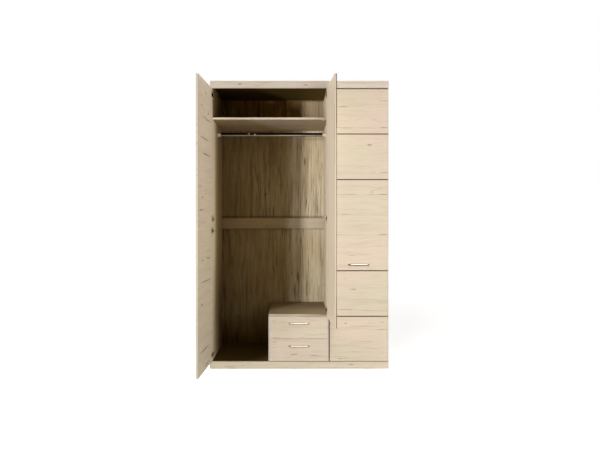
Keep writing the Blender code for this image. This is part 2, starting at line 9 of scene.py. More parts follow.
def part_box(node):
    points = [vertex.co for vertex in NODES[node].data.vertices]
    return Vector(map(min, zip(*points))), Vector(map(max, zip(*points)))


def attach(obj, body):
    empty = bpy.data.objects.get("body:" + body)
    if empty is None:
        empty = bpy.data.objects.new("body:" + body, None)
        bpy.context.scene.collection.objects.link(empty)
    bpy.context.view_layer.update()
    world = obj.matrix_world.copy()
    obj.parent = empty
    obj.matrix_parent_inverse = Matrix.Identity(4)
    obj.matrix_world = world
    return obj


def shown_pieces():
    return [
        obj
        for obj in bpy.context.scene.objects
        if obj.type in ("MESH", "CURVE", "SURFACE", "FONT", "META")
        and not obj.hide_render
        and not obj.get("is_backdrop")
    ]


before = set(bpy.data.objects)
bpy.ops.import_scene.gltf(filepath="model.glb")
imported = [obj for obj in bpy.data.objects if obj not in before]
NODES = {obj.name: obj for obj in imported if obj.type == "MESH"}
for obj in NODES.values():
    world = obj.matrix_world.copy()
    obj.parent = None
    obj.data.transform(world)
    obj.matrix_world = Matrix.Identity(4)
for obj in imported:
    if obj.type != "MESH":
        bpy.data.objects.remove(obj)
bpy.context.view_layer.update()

# Places that the looks share with the CAD, in metres
OPEN_ANGLE = math.radians(93.5)
LEFT_PIVOT = (-0.6612, -0.0027)
MIDDLE_PIVOT = (0.2145333, -0.0027)
RIGHT_PIVOT = (0.6612, -0.0027)
DOOR_OUTER, DOOR_INNER = -0.0092, 0.0068
DOOR_MIDDLE_DEPTH = -0.0012
FRONT_SIDE_X = 0.668  # outer edge of the left and of the right door, shut
MIDDLE_EDGE_X, RIGHT_EDGE_X = 0.2213333, 0.2253333  # edges of the fronts at the partition
MIDDLE_FREE_X, LEFT_FREE_X = -0.2213, -0.2253  # free edges of the middle and the left door, shut
DOOR_LOW, DOOR_HIGH, SHORT_DOOR_LOW = 0.058, 2.102, 0.3965
GROOVE_LEVELS = (0.3945, 0.7360, 1.4190, 1.7605)

# Faces of the upright boards inside, from left to right
LEFT_PANEL_FACE, RIGHT_PANEL_FACE = -0.654, 0.654
PARTITION_LEFT, PARTITION_MIDDLE, PARTITION_RIGHT = 0.2153333, 0.2233333, 0.2313333

WHITE = (1, 1, 1, 1)
ANY = 9.0  # half size of a shade that has no limit along an axis
SOFT_CHANGE = 0.0002  # half width of the change between a board's two faces


def srgb(red, green, blue):
    """Linear colour of an sRGB colour given from 0 to 255."""
    def linear(value):
        value /= 255
        return value / 12.92 if value <= 0.04045 else ((value + 0.055) / 1.055) ** 2.4
    return (linear(red), linear(green), linear(blue), 1.0)


class Tree:
    """Short names for the nodes of one material or group."""

    def __init__(self, tree):
        self.tree = tree

    def add(self, kind, **values):
        node = self.tree.nodes.new(kind)
        for name, value in values.items():
            setattr(node, name, value)
        return node

    def join(self, source, target):
        self.tree.links.new(source, target)

    def set(self, socket, value):
        """Link a socket, or write a plain value on it."""
        if isinstance(value, bpy.types.NodeSocket):
            self.join(value, socket)
        else:
            socket.default_value = value

    def math(self, operation, a, b=0.0, c=0.0):
        node = self.add("ShaderNodeMath", operation=operation)
        for socket, value in zip(node.inputs, (a, b, c)):
            self.set(socket, value)
        return node.outputs[0]

    def vector(self, operation, a, b=(0.0, 0.0, 0.0)):
        node = self.add("ShaderNodeVectorMath", operation=operation)
        self.set(node.inputs[0], a)
        self.set(node.inputs[1], b)
        return node.outputs["Vector"]

    def shaded(self, place, rows, soft=0.0004):
        """Largest of the box shades at a place; a row gives centre, half size and strength."""
        total = 0.0
        for centre, half, strength in rows:
            node = self.add("ShaderNodeGroup", node_tree=SHADE)
            for socket, value in zip(node.inputs, (place, centre, half, soft, strength, total)):
                self.set(socket, value)
            total = node.outputs[0]
        return total

    def marked(self, along, across, rows):
        """Largest of the long marks at a place."""
        total = 0.0
        for middle, level, half_length, half_height, strength in rows:
            node = self.add("ShaderNodeGroup", node_tree=MARK)
            values = (along, across, total, middle, level, half_length, half_height, strength)
            for socket, value in zip(node.inputs, values):
                self.set(socket, value)
            total = node.outputs[0]
        return total

    def ramp(self, value, low, high, to_low=0.0, to_high=1.0, smooth=True):
        """Value from one range to another, clamped."""
        node = self.add("ShaderNodeMapRange", clamp=True)
        node.interpolation_type = "SMOOTHSTEP" if smooth else "LINEAR"
        for socket, item in zip(node.inputs, (value, low, high, to_low, to_high)):
            self.set(socket, item)
        return node.outputs[0]

    def mix(self, share, first, second, blend="MIX"):
        """Colour mix."""
        node = self.add("ShaderNodeMix", data_type="RGBA", blend_type=blend)
        self.set(node.inputs[0], share)
        self.set(node.inputs[6], first)
        self.set(node.inputs[7], second)
        return node.outputs[2]

    def noise(self, vector, scale, detail=2.0, roughness=0.5):
        node = self.add("ShaderNodeTexNoise")
        self.join(vector, node.inputs["Vector"])
        node.inputs["Scale"].default_value = scale
        node.inputs["Detail"].default_value = detail
        node.inputs["Roughness"].default_value = roughness
        return node.outputs["Fac"]

    def product(self, first, second):
        """Colour product."""
        return self.mix(1.0, first, second, "MULTIPLY")

    def split(self, vector):
        """The three parts of a vector."""
        node = self.add("ShaderNodeSeparateXYZ")
        self.join(vector, node.inputs[0])
        return node.outputs

    def combine(self, values):
        """Vector of three linked parts."""
        node = self.add("ShaderNodeCombineXYZ")
        for socket, value in zip(node.inputs, values):
            self.join(value, socket)
        return node.outputs[0]

    def bump(self, shader, height, strength, distance):
        """Relief on a shader."""
        node = self.add("ShaderNodeBump")
        node.inputs["Strength"].default_value = strength
        node.inputs["Distance"].default_value = distance
        self.join(height, node.inputs["Height"])
        self.join(node.outputs[0], shader.inputs["Normal"])

    def seen(self):
        """1 for rays that see a surface directly, in a gloss or through glass."""
        path = self.add("ShaderNodeLightPath")
        return self.math("MAXIMUM", path.outputs["Is Camera Ray"],
                         self.math("MAXIMUM", path.outputs["Is Glossy Ray"],
                                   path.outputs["Is Transmission Ray"]))

    def stretch(self, vector, scale, offset=(0, 0, 0)):
        """Vector scaled per axis and then moved."""
        node = self.add("ShaderNodeMapping")
        self.join(vector, node.inputs["Vector"])
        node.inputs["Location"].default_value = offset
        node.inputs["Scale"].default_value = scale
        return node.outputs["Vector"]


def mark_group():
    """Node group: one long dark crack or knot, 1 in its middle and 0 away from it."""
    group = bpy.data.node_groups.new("wood mark", "ShaderNodeTree")
    face = group.interface
    for name in ("Along", "Across", "Before", "Middle along", "Middle across", "Half length",
                 "Half height", "Strength"):
        face.new_socket(name, in_out="INPUT", socket_type="NodeSocketFloat")
    face.new_socket("After", in_out="OUTPUT", socket_type="NodeSocketFloat")
    t = Tree(group)
    source = t.add("NodeGroupInput")
    drain = t.add("NodeGroupOutput")
    inputs = {socket.name: socket for socket in source.outputs}
    along = t.math("DIVIDE", t.math("SUBTRACT", inputs["Along"], inputs["Middle along"]),
                   inputs["Half length"])
    across = t.math("DIVIDE", t.math("SUBTRACT", inputs["Across"], inputs["Middle across"]),
                    inputs["Half height"])
    far = t.math("SQRT", t.math("ADD", t.math("MULTIPLY", along, along),
                                t.math("MULTIPLY", across, across)))
    shade = t.math("MULTIPLY", t.ramp(far, 1.0, 0.25), inputs["Strength"])
    t.join(t.math("MAXIMUM", inputs["Before"], shade), drain.inputs["After"])
    return group


def shade_group():
    """Node group: a box in which a surface is shaded, with soft sides."""
    group = bpy.data.node_groups.new("shade", "ShaderNodeTree")
    face = group.interface
    for name in ("Place", "Centre", "Half"):
        face.new_socket(name, in_out="INPUT", socket_type="NodeSocketVector")
    for name in ("Soft", "Strength", "Before"):
        face.new_socket(name, in_out="INPUT", socket_type="NodeSocketFloat")
    face.new_socket("After", in_out="OUTPUT", socket_type="NodeSocketFloat")
    t = Tree(group)
    inputs = {socket.name: socket for socket in t.add("NodeGroupInput").outputs}
    drain = t.add("NodeGroupOutput")
    gap = t.vector("SUBTRACT", t.vector("ABSOLUTE", t.vector(
        "SUBTRACT", inputs["Place"], inputs["Centre"])), inputs["Half"])
    x, y, z = t.split(gap)
    far = t.math("MAXIMUM", t.math("MAXIMUM", x, y), z)
    inside = t.ramp(far, inputs["Soft"], 0.0)
    t.join(t.math("MAXIMUM", inputs["Before"], t.math("MULTIPLY", inside, inputs["Strength"])),
           drain.inputs["After"])
    return group


MARK = mark_group()
SHADE = shade_group()


def new_material(name):
    """Material with a principled shader, and its tree."""
    material = bpy.data.materials.new(name)
    material.use_nodes = True
    return material, Tree(material.node_tree), material.node_tree.nodes["Principled BSDF"]


def grain_frame(t, axis, turn=0.0, pivot=(0.0, 0.0)):
    """Object coordinates, and the same with the grain along X and the board's width along Y.

    turn swings a door that stands open at rest back to shut first.
    """
    place = t.add("ShaderNodeTexCoord").outputs["Object"]
    if turn:
        back = t.add("ShaderNodeVectorRotate", rotation_type="Z_AXIS")
        t.join(place, back.inputs["Vector"])
        back.inputs["Center"].default_value = (*pivot, 0)
        back.inputs["Angle"].default_value = turn
        place = back.outputs["Vector"]
    x, y, z = t.split(place)
    order = {"X": (x, z, y), "Z": (z, x, y), "Y": (y, z, x), "XY": (x, y, z), "YX": (y, x, z),
             "ZY": (z, y, x)}[axis]
    return place, t.combine(order), order


def wood(name, axis, seed, tones, marks=(), inner_marks=(), shades=(), streaks=0.5, dashes=0.12,
         cracks=0.5, bend=0.05, gloss=0.3, turn=0.0, pivot=(0.0, 0.0),
         upright_inside=False, tint=None):
    """Oak-look foil: broad tone, streaks and fine grain along one axis, cracks and marks.

    tones are the pale, dark, warm and crack colours; marks lie on the outer face of a door and
    inner_marks on its inner face; shades are boxes of painted shade; upright_inside turns the
    inner face's grain; the function given last paints light and shade on the finished tone by
    place.
    Noise scales are along and across the grain.
    """
    pale, dark, warm, crack = tones
    material, t, shader = new_material(name)
    plain, place, (along, across, depth) = grain_frame(t, axis, turn, pivot)
    shift = (seed * 3.7, seed * 1.9, seed * 2.3)

    grain = place
    if upright_inside:
        inside = t.ramp(depth, DOOR_MIDDLE_DEPTH - SOFT_CHANGE, DOOR_MIDDLE_DEPTH + SOFT_CHANGE)
        swapped = t.combine((across, along, depth))
        pick = t.add("ShaderNodeMix", data_type="VECTOR")
        for socket, value in zip((pick.inputs[0], pick.inputs[4], pick.inputs[5]),
                                 (inside, place, swapped)):
            t.join(value, socket)
        grain = pick.outputs[1]
    # The grain, bent a little by a slow wave
    wave = t.noise(t.stretch(grain, (1.6, 2.2, 2.2), shift), 2.0, 2.0)
    lift = t.add("ShaderNodeCombineXYZ")
    t.join(t.math("MULTIPLY", wave, bend), lift.inputs[1])
    bent = t.vector("ADD", grain, lift.outputs[0])

    # Tone: patches, broad streaks, fine grain, dashes and pores
    patches = t.noise(t.stretch(bent, (1.1, 1.6, 1.6), shift), 1.6, 2.0)
    broad = t.noise(t.stretch(bent, (1.0, 16, 16), shift), 2.0, 4.0, 0.6)
    fine = t.noise(t.stretch(bent, (3.0, 90, 90), shift), 2.0, 5.0, 0.65)
    pores = t.noise(t.stretch(bent, (14, 520, 520), shift), 1.6, 3.0, 0.6)

    tone = t.mix(t.ramp(patches, 0.38, 0.62), pale, warm)
    tone = t.mix(t.math("MULTIPLY", t.ramp(broad, 0.45, 0.75), streaks), tone, dark)
    tone = t.mix(t.math("MULTIPLY", t.ramp(fine, 0.42, 0.72), streaks * 0.6), tone, dark)
    dash = t.noise(t.stretch(bent, (2.2, 42, 42), shift), 2.0, 3.0, 0.55)
    tone = t.mix(t.math("MULTIPLY", t.ramp(dash, 0.54, 0.70), dashes), tone, crack)
    pore = t.ramp(pores, 0.60, 0.74)
    tone = t.mix(t.math("MULTIPLY", pore, 0.22), tone, crack)

    # Hairline cracks, and the marks with ragged ends
    line = t.math("ABSOLUTE", t.math("SUBTRACT", t.noise(
        t.stretch(bent, (0.55, 5.2, 5.2), shift), 2.0, 1.5), 0.5))
    where = t.noise(t.stretch(bent, (3.2, 9, 9), (shift[1], shift[2], shift[0])), 2.0, 2.0)
    split = t.math("MULTIPLY", t.math("MULTIPLY", t.ramp(line, 0.006, 0.0),
                                      t.ramp(where, 0.56, 0.66)), cracks)
    if marks or inner_marks:
        wiggle = t.noise(t.stretch(place, (9, 9, 9), shift), 2.0, 3.0)
        waved = t.math("MULTIPLY_ADD", t.math("SUBTRACT", wiggle, 0.5), 0.010, across)
        ends = t.noise(t.stretch(place, (30, 60, 60), shift), 2.0, 2.0)
        ragged = t.math("MULTIPLY_ADD", t.math("SUBTRACT", ends, 0.5), 0.03, along)
        total = 0.0
        if marks:
            total = t.marked(ragged, waved, marks)
        if inner_marks:
            inside = t.math("GREATER_THAN", depth, DOOR_MIDDLE_DEPTH)
            outside = t.math("SUBTRACT", 1.0, inside)
            total = t.math("ADD", t.math("MULTIPLY", outside, total),
                           t.math("MULTIPLY", inside, t.marked(ragged, waved, inner_marks)))
        uneven = t.ramp(t.noise(t.stretch(place, (8, 120, 120), shift), 2.0, 3.0), 0.3, 0.6,
                        0.45, 1.0)
        split = t.math("MAXIMUM", split, t.math("MULTIPLY", total, uneven))
    tone = t.mix(split, tone, crack)
    if tint:
        tone = tint(t, plain, tone)
    if shades:
        shade = t.shaded(plain, shades)
        tone = t.mix(shade, tone, PAINTED_SHADE)
        t.join(t.ramp(shade, 0.0, 1.0, gloss, 0.0), shader.inputs["Specular IOR Level"])
    t.join(tone, shader.inputs["Base Color"])

    t.join(t.math("MULTIPLY_ADD", fine, 0.14, 0.48), shader.inputs["Roughness"])
    relief = t.math("SUBTRACT", t.math("MULTIPLY", fine, 0.4), t.math("MULTIPLY", pore, 0.5))
    relief = t.math("SUBTRACT", relief, split)
    t.bump(shader, relief, 0.25, 0.0004)
    if not shades:
        shader.inputs["Specular IOR Level"].default_value = gloss
    return material


def metal(name, colour, rough, axis="X", bands=(), spots=(), level=0.0, height=1.0,
          glints=None):
    """Brushed or polished metal with fine lines along one axis and a few dull patches.

    bands give the colour by height above a level, as a share of the piece's height, and paint
    reflections and shade; spots are boxes of painted highlight; glints are small painted
    highlights.
    """
    material, t, shader = new_material(name)
    place = t.add("ShaderNodeTexCoord").outputs["Object"]
    scale = {"X": (12, 900, 900), "Y": (900, 12, 900), "Z": (900, 900, 12)}[axis]
    lines = t.noise(t.stretch(place, scale), 1.0, 3.0)
    dull = t.noise(place, 35.0, 3.0)
    base = colour
    if bands:
        share = t.math("DIVIDE", t.math("SUBTRACT", t.split(place)[2], level), height)
        for low, high, band in bands:
            middle, half = (low + high) / 2, (high - low) / 2
            away = t.math("ABSOLUTE", t.math("SUBTRACT", share, middle))
            base = t.mix(t.ramp(away, half + 0.06, half), base, band)
    if spots:
        base = t.mix(t.shaded(place, spots, 0.002), base, srgb(200, 192, 176))
    if glints:
        sparkle = t.noise(t.stretch(place, (60, 60, 60)), 1.0, 1.0)
        base = t.mix(t.ramp(sparkle, 0.53, 0.55), base, glints)
    worn = t.mix(t.ramp(lines, 0.35, 0.7), WHITE, (0.78, 0.78, 0.78, 1))
    t.join(t.product(base, worn), shader.inputs["Base Color"])
    t.join(t.ramp(dull, 0.3, 0.7, rough * 0.8, rough * 1.25), shader.inputs["Roughness"])
    t.bump(shader, lines, 0.3, 0.00003)
    shader.inputs["Metallic"].default_value = 1.0
    return material


def plastic(name, colour, rough):
    """Moulded plastic with a faint mottle."""
    material, t, shader = new_material(name)
    place = t.add("ShaderNodeTexCoord").outputs["Object"]
    mottle = t.noise(place, 260.0, 3.0)
    soil = t.noise(place, 14.0, 3.0)
    dark = tuple(0.86 * value for value in colour[:3]) + (1.0,)
    t.join(t.mix(t.ramp(soil, 0.4, 0.75), colour, dark), shader.inputs["Base Color"])
    t.join(t.ramp(mottle, 0.3, 0.7, rough * 0.85, rough * 1.15), shader.inputs["Roughness"])
    t.bump(shader, mottle, 0.2, 0.00004)
    return material


def paint(node, material):
    """Give a CAD node a new finish."""
    for place in NODES[node].material_slots:
        place.material = material


# Camera, placed from the photograph's vanishing lines
camera_data = bpy.data.cameras.new("camera")
camera = bpy.data.objects.new("camera", camera_data)
bpy.context.scene.collection.objects.link(camera)
camera.location = (-0.039, -3.959, 1.161)
camera.rotation_euler = (math.pi / 2, 0, 0)
camera_data.sensor_width = 36
camera_data.lens = 31.62
camera_data.shift_x = 0.010
camera_data.shift_y = -0.0183
bpy.context.scene.camera = camera

# Oak colours: pale, dark, warm and crack
OAK = (srgb(228, 215, 189), srgb(208, 194, 165), srgb(232, 213, 193), srgb(128, 106, 76))
EDGE = (srgb(227, 215, 193), srgb(210, 197, 173), srgb(230, 215, 195), srgb(152, 132, 104))
# INNER, for the boards inside, is a darker copy of the oak: painted shade
INNER = (srgb(164, 146, 111), srgb(134, 116, 80), srgb(166, 146, 113), srgb(116, 95, 60))
BACK = (srgb(182, 164, 126), srgb(112, 92, 56), srgb(172, 152, 112), srgb(72, 52, 22))
# Colour of the painted shade in grooves, gaps and along arrises
PAINTED_SHADE = srgb(80, 54, 22)


def toned(tones, factor, blue=1.0):
    """Colours made darker or paler, and cooler: lit and shaded copies of one foil, painted light
    and shade.
    """
    return tuple((colour[0] * factor, colour[1] * factor, colour[2] * factor * blue, 1.0)
                 for colour in tones)


# Marks: middle along the grain, level across it, half length, half height, strength
RIGHT_DOOR_MARKS = [
    (0.325, 1.965, 0.055, 0.006, 0.6), (0.60, 2.030, 0.07, 0.004, 0.35),
    (0.63, 2.010, 0.05, 0.004, 0.4), (0.56, 1.872, 0.03, 0.004, 0.3),
    (0.32, 1.809, 0.13, 0.004, 0.65), (0.52, 1.806, 0.16, 0.003, 0.4),
    (0.64, 1.808, 0.05, 0.005, 0.65),
    (0.525, 1.679, 0.028, 0.008, 0.9), (0.46, 1.674, 0.05, 0.003, 0.35),
    (0.64, 1.556, 0.05, 0.003, 0.4), (0.56, 1.473, 0.02, 0.004, 0.4),
    (0.64, 1.473, 0.05, 0.004, 0.6),
    (0.36, 1.308, 0.14, 0.0035, 0.6), (0.55, 1.306, 0.10, 0.003, 0.4),
    (0.63, 1.308, 0.06, 0.005, 0.8),
    (0.64, 1.270, 0.04, 0.003, 0.35), (0.64, 1.215, 0.04, 0.003, 0.35),
    (0.64, 1.173, 0.04, 0.003, 0.4),
    (0.345, 1.157, 0.05, 0.004, 0.45), (0.31, 1.004, 0.08, 0.003, 0.55),
    (0.45, 1.003, 0.20, 0.0025, 0.4), (0.63, 1.006, 0.06, 0.006, 0.65),
    (0.60, 0.917, 0.05, 0.003, 0.35), (0.395, 0.850, 0.04, 0.005, 0.45),
    (0.58, 0.698, 0.05, 0.003, 0.35), (0.405, 0.596, 0.035, 0.008, 0.6),
    (0.62, 0.505, 0.06, 0.004, 0.35), (0.62, 0.490, 0.05, 0.003, 0.35),
    (0.34, 0.445, 0.12, 0.004, 0.55), (0.52, 0.438, 0.16, 0.003, 0.45),
    (0.345, 0.344, 0.009, 0.007, 0.8), (0.625, 0.351, 0.025, 0.004, 0.6),
    (0.615, 0.297, 0.07, 0.004, 0.55), (0.31, 0.079, 0.025, 0.006, 0.65),
]
LEFT_INNER_MARKS = [
    (-0.474, 1.838, 0.195, 0.0065, 1.00), (-0.411, 1.690, 0.183, 0.0065, 1.00),
    (-0.470, 1.584, 0.165, 0.0070, 1.00), (-0.305, 1.189, 0.080, 0.0065, 0.81),
    (-0.545, 0.841, 0.093, 0.0051, 0.68), (-0.450, 0.686, 0.220, 0.0065, 0.88),
    (-0.410, 0.210, 0.180, 0.0065, 1.00), (-0.480, 0.090, 0.127, 0.0065, 0.81),
    (-0.451, 2.021, 0.035, 0.0126, 0.56), (-0.330, 1.913, 0.018, 0.0115, 0.88),
    (-0.524, 1.888, 0.020, 0.0138, 1.00), (-0.342, 0.841, 0.024, 0.0103, 0.88),
    (-0.327, 0.537, 0.024, 0.0138, 0.94), (-0.270, 1.346, 0.024, 0.0103, 0.75),
    (-0.342, 1.278, 0.024, 0.0103, 0.75), (-0.270, 1.082, 0.024, 0.0092, 0.62),
    (-0.508, 0.845, 0.018, 0.0080, 0.88), (-0.621, 0.277, 0.024, 0.0092, 0.75),
]
MIDDLE_INNER_MARKS = [
    (0.19, 1.30, 0.006, 0.70, 0.22), (0.10, 0.95, 0.004, 0.45, 0.15),
]
CORNICE_MARKS = [
    (-0.444, 2.137, 0.022, 0.009, 0.7), (0.050, 2.129, 0.016, 0.008, 0.7),
    (-0.25, 2.148, 0.12, 0.003, 0.3), (0.40, 2.146, 0.16, 0.003, 0.3),
    (0.05, 2.146, 0.14, 0.003, 0.25),
]
PLINTH_MARKS = [
    (-0.523, 0.016, 0.06, 0.005, 0.6), (-0.50, 0.005, 0.05, 0.003, 0.6),
    (0.390, 0.033, 0.030, 0.006, 0.75), (-0.10, 0.008, 0.20, 0.003, 0.3),
    (0.30, 0.008, 0.30, 0.003, 0.35),
]
UPPER_FRONT_MARKS = [
    (-0.190, 0.361, 0.022, 0.004, 0.5), (-0.195, 0.349, 0.016, 0.003, 0.35),
    (-0.17, 0.232, 0.05, 0.004, 0.6), (-0.09, 0.230, 0.06, 0.003, 0.4),
    (0.02, 0.234, 0.04, 0.003, 0.35), (0.10, 0.362, 0.05, 0.002, 0.25),
]
LOWER_FRONT_MARKS = [
    (0.116, 0.099, 0.050, 0.0035, 0.9), (0.02, 0.100, 0.04, 0.002, 0.3),
    (-0.185, 0.206, 0.03, 0.003, 0.4), (-0.185, 0.196, 0.03, 0.003, 0.4),
    (-0.195, 0.182, 0.018, 0.003, 0.35), (-0.195, 0.158, 0.016, 0.003, 0.3),
    (-0.10, 0.104, 0.03, 0.002, 0.25),
]
BACK_MARKS = [
    (1.61, 0.055, 0.055, 0.010, 0.8), (1.56, -0.280, 0.06, 0.009, 0.6),
    (1.47, -0.356, 0.07, 0.010, 0.6), (1.545, -0.168, 0.05, 0.008, 0.55),
    (1.575, 0.200, 0.05, 0.007, 0.5), (1.27, 0.068, 0.065, 0.006, 0.7),
    (1.205, 0.158, 0.04, 0.006, 0.6), (1.40, -0.255, 0.10, 0.012, 0.5),
    (1.18, -0.215, 0.08, 0.010, 0.6), (0.93, 0.02, 0.05, 0.010, 0.5),
    (0.62, -0.005, 0.09, 0.016, 0.7), (0.50, -0.03, 0.09, 0.022, 0.7),
    (0.55, 0.075, 0.05, 0.008, 0.6), (0.48, 0.07, 0.04, 0.010, 0.6),
    (0.80, -0.33, 0.07, 0.008, 0.4), (0.72, -0.47, 0.08, 0.008, 0.4),
]

# Painted shade in the grooves of the doors and on the edges beside them
GROOVE_HALF_DEPTH, GROOVE_HALF_HEIGHT = 0.0045, 0.0037
GROOVE_SHADES = [((0, DOOR_OUTER, level), (ANY, GROOVE_HALF_DEPTH, GROOVE_HALF_HEIGHT), 1.0)
                 for level in GROOVE_LEVELS]


def outer_tint(axis, low, high, outside, inner=None):
    """Painted light and shade: a board's tone multiplied by outside where its axis passes from low
    to high.
    """
    def tint(t, plain, tone):
        place = t.split(plain)
        inside = inner(t, place, tone) if inner else tone
        return t.mix(t.ramp(place[axis], low, high), inside, t.product(tone, (*outside, 1)))
    return tint


def rim_shades(high, low, sides, top=0.0060, bottom=0.0009):
    """Painted shade round the outer face of a front, where the gaps beside it fall dark; sides are
    pairs of place and half width.
    """
    depth = 0.0030
    rows = [((0, DOOR_OUTER, high), (ANY, depth, top), 0.9),
            ((0, DOOR_OUTER, low), (ANY, depth, bottom), 0.9)]
    return rows + [((x, DOOR_OUTER, 0), (half, depth, ANY), 0.9) for x, half in sides]


def even_door(t, plain, tone):
    """Right door, painted light and shade: a little darker at mid height towards its left, paler
    towards its right.
    """
    x, _, z = t.split(plain)
    middle = t.math("MULTIPLY", t.ramp(x, 0.62, 0.24), t.math(
        "MULTIPLY", t.ramp(z, 0.25, 0.60), t.ramp(z, 1.75, 1.40)))
    high = t.math("MULTIPLY", t.ramp(x, 0.40, 0.60), t.ramp(z, 1.60, 1.85))
    low = t.ramp(z, 0.42, 0.38)
    for share, colour in ((middle, (0.90, 0.92, 0.95, 1)), (high, (1.07, 1.01, 1.06, 1)),
                          (low, (1.05, 1.04, 1.03, 1))):
        tone = t.mix(share, tone, t.product(tone, colour))
    return tone


# Painted shade down the free edge of the middle door, darkest at its ends
MIDDLE_EDGE_SHADES = [
    ((MIDDLE_FREE_X, DOOR_OUTER, 1.93), (0.0030, 0.0048, 0.19), 1.0),
    ((MIDDLE_FREE_X, DOOR_OUTER, 1.25), (0.0030, 0.0040, 0.90), 0.75),
    ((MIDDLE_FREE_X, DOOR_OUTER, 0.48), (0.0030, 0.0044, 0.12), 0.9),
    ((MIDDLE_FREE_X, DOOR_INNER, 1.70), (0.010, 0.0016, 0.20), 0.55),
    ((MIDDLE_FREE_X, DOOR_INNER, 1.25), (0.008, 0.0012, 0.90), 0.30),
]
paint("right_door_panel",
      wood("oak right door", "X", 1, OAK, RIGHT_DOOR_MARKS, gloss=0.2, tint=even_door,
           shades=GROOVE_SHADES + rim_shades(
               DOOR_HIGH, DOOR_LOW, [(RIGHT_EDGE_X, 0.0034), (FRONT_SIDE_X, 0.0010)])))
paint("left_door_panel",
      wood("oak left door", "X", 2, toned(OAK, 0.93)[:3] + (srgb(92, 72, 46),), (),
           LEFT_INNER_MARKS, cracks=0.25,
           shades=GROOVE_SHADES + rim_shades(DOOR_HIGH, DOOR_LOW, [(-FRONT_SIDE_X, 0.0010)]) + [
               # Painted shade along the inner arris of the free edge and, a little, on the free
               # edge itself
               ((LEFT_FREE_X, DOOR_INNER, 0), (0.008, 0.0018, ANY), 0.3),
               ((LEFT_FREE_X, DOOR_MIDDLE_DEPTH, 0), (0.0015, 0.0080, ANY), 0.14)],
           turn=OPEN_ANGLE, pivot=LEFT_PIVOT))
paint("middle_door_panel",
      wood("oak middle door", "X", 3, OAK, (), MIDDLE_INNER_MARKS,
           shades=GROOVE_SHADES[1:] + MIDDLE_EDGE_SHADES + rim_shades(
               DOOR_HIGH, SHORT_DOOR_LOW, [(MIDDLE_EDGE_X, 0.0010)]),
           turn=-OPEN_ANGLE, pivot=MIDDLE_PIVOT, upright_inside=True,
           # Painted light: the free edge of the middle door made paler
           tint=outer_tint(0, -0.2207, -0.2212, (1.11, 1.12, 1.13))))

DRAWER_WOOD = {}
for number, (name, marks, low) in enumerate((
        ("lower", LOWER_FRONT_MARKS, 0.058), ("upper", UPPER_FRONT_MARKS, -ANY))):
    DRAWER_WOOD[name] = wood(f"oak {name} drawer front", "X", 4 + number, toned(OAK, 1.02), marks,
                             shades=rim_shades(ANY, low, [(MIDDLE_EDGE_X, 0.0005)]))
    paint(f"{name}_drawer_front", DRAWER_WOOD[name])
    paint(f"{name}_drawer_wrap", wood(f"oak {name} drawer wrap", "Y", 6 + number, OAK))
    paint(f"{name}_drawer_bottom",
          wood(f"{name} drawer bottom board", "YX", 8 + number, OAK))
paint("cornice_rail", wood("oak cornice", "X", 10, toned(OAK, 1.04, 1.09), CORNICE_MARKS))
paint("plinth_front", wood("oak plinth", "X", 11, toned(OAK, 1.06), PLINTH_MARKS))


def sideways(left, right, inner=None):
    """Painted light and shade: a board whose colour changes from its left to its right."""
    def tint(t, plain, tone):
        share = t.ramp(t.split(plain)[0], -0.60, 0.20, smooth=False)
        tone = t.product(tone, t.mix(share, (*left, 1), (*right, 1)))
        return inner(t, plain, tone) if inner else tone
    return tint


def side_front(t, place, tone):
    """Inner face of a side panel, painted light and shade: pale along its front, darkest low and
    high.

    In the hat compartment the pale strip is narrower, and the rest is darker.
    """
    _, y, z = place
    ends = t.math("MAXIMUM", t.ramp(z, 1.0, 0.3), t.ramp(z, 1.86, 1.90))
    hat = t.ramp(z, 1.88, 1.90)
    reach = t.math("MULTIPLY_ADD", hat, 0.13, y)
    bright = t.math("MULTIPLY", t.ramp(reach, 0.27, 0.08),
                    t.math("MULTIPLY_ADD", ends, -0.45, 1.0))
    dim = t.mix(t.math("MULTIPLY", ends, t.ramp(y, 0.05, 0.20)), WHITE, (0.62, 0.60, 0.56, 1))
    light = t.mix(bright, WHITE, (2.02, 2.30, 3.0, 1))
    dim = t.mix(t.math("MULTIPLY", hat, 0.8), dim, (0.40, 0.32, 0.18, 1))
    return t.product(t.product(tone, dim), light)


def inner_wood(node, axis, seed, factor=1.0, tones=INNER, **more):
    """Foil of a board inside the wardrobe."""
    paint(node, wood(f"oak {node}", axis, seed, toned(tones, factor), gloss=0.02, **more))


# The side panels' inner tones carry painted shade; OUTSIDE makes their outer faces paler again
OUTSIDE = (2.05, 2.30, 3.10)  # how much paler the side panels are outside, per channel
inner_wood("left_side_panel", "ZY", 12, tint=outer_tint(0, -0.6685, -0.6695, OUTSIDE, side_front))
inner_wood("right_side_panel", "ZY", 13, tint=outer_tint(0, 0.6685, 0.6695, OUTSIDE, side_front))
inner_wood("partition_panel", "ZY", 14, tones=(srgb(166, 152, 121), srgb(136, 121, 89),
                                               srgb(168, 151, 123), srgb(117, 99, 68)))
inner_wood("chest_side_panel", "ZY", 15)
# Hat shelf, painted light and shade: paler at its left, darker at its right, its top face at half
# the tone
inner_wood("hat_shelf", "XY", 16, tones=(srgb(190, 176, 152), srgb(160, 145, 118),
                                         srgb(192, 174, 152), srgb(130, 112, 82)),
           tint=sideways((1.10, 1.10, 1.14), (0.88, 0.88, 0.79),
                         outer_tint(2, 1.8893, 1.8898, (0.5, 0.5, 0.5))))
# Top panel: its underside at a third of the tone, painted shade; its top face made paler again
inner_wood("top_panel", "XY", 17, 0.34, tones=(srgb(172, 142, 66), srgb(141, 114, 48),
                                               srgb(174, 142, 68), srgb(122, 94, 38)),
           tint=outer_tint(2, 2.1352, 2.1358, (4.43, 5.5, 18.8)))


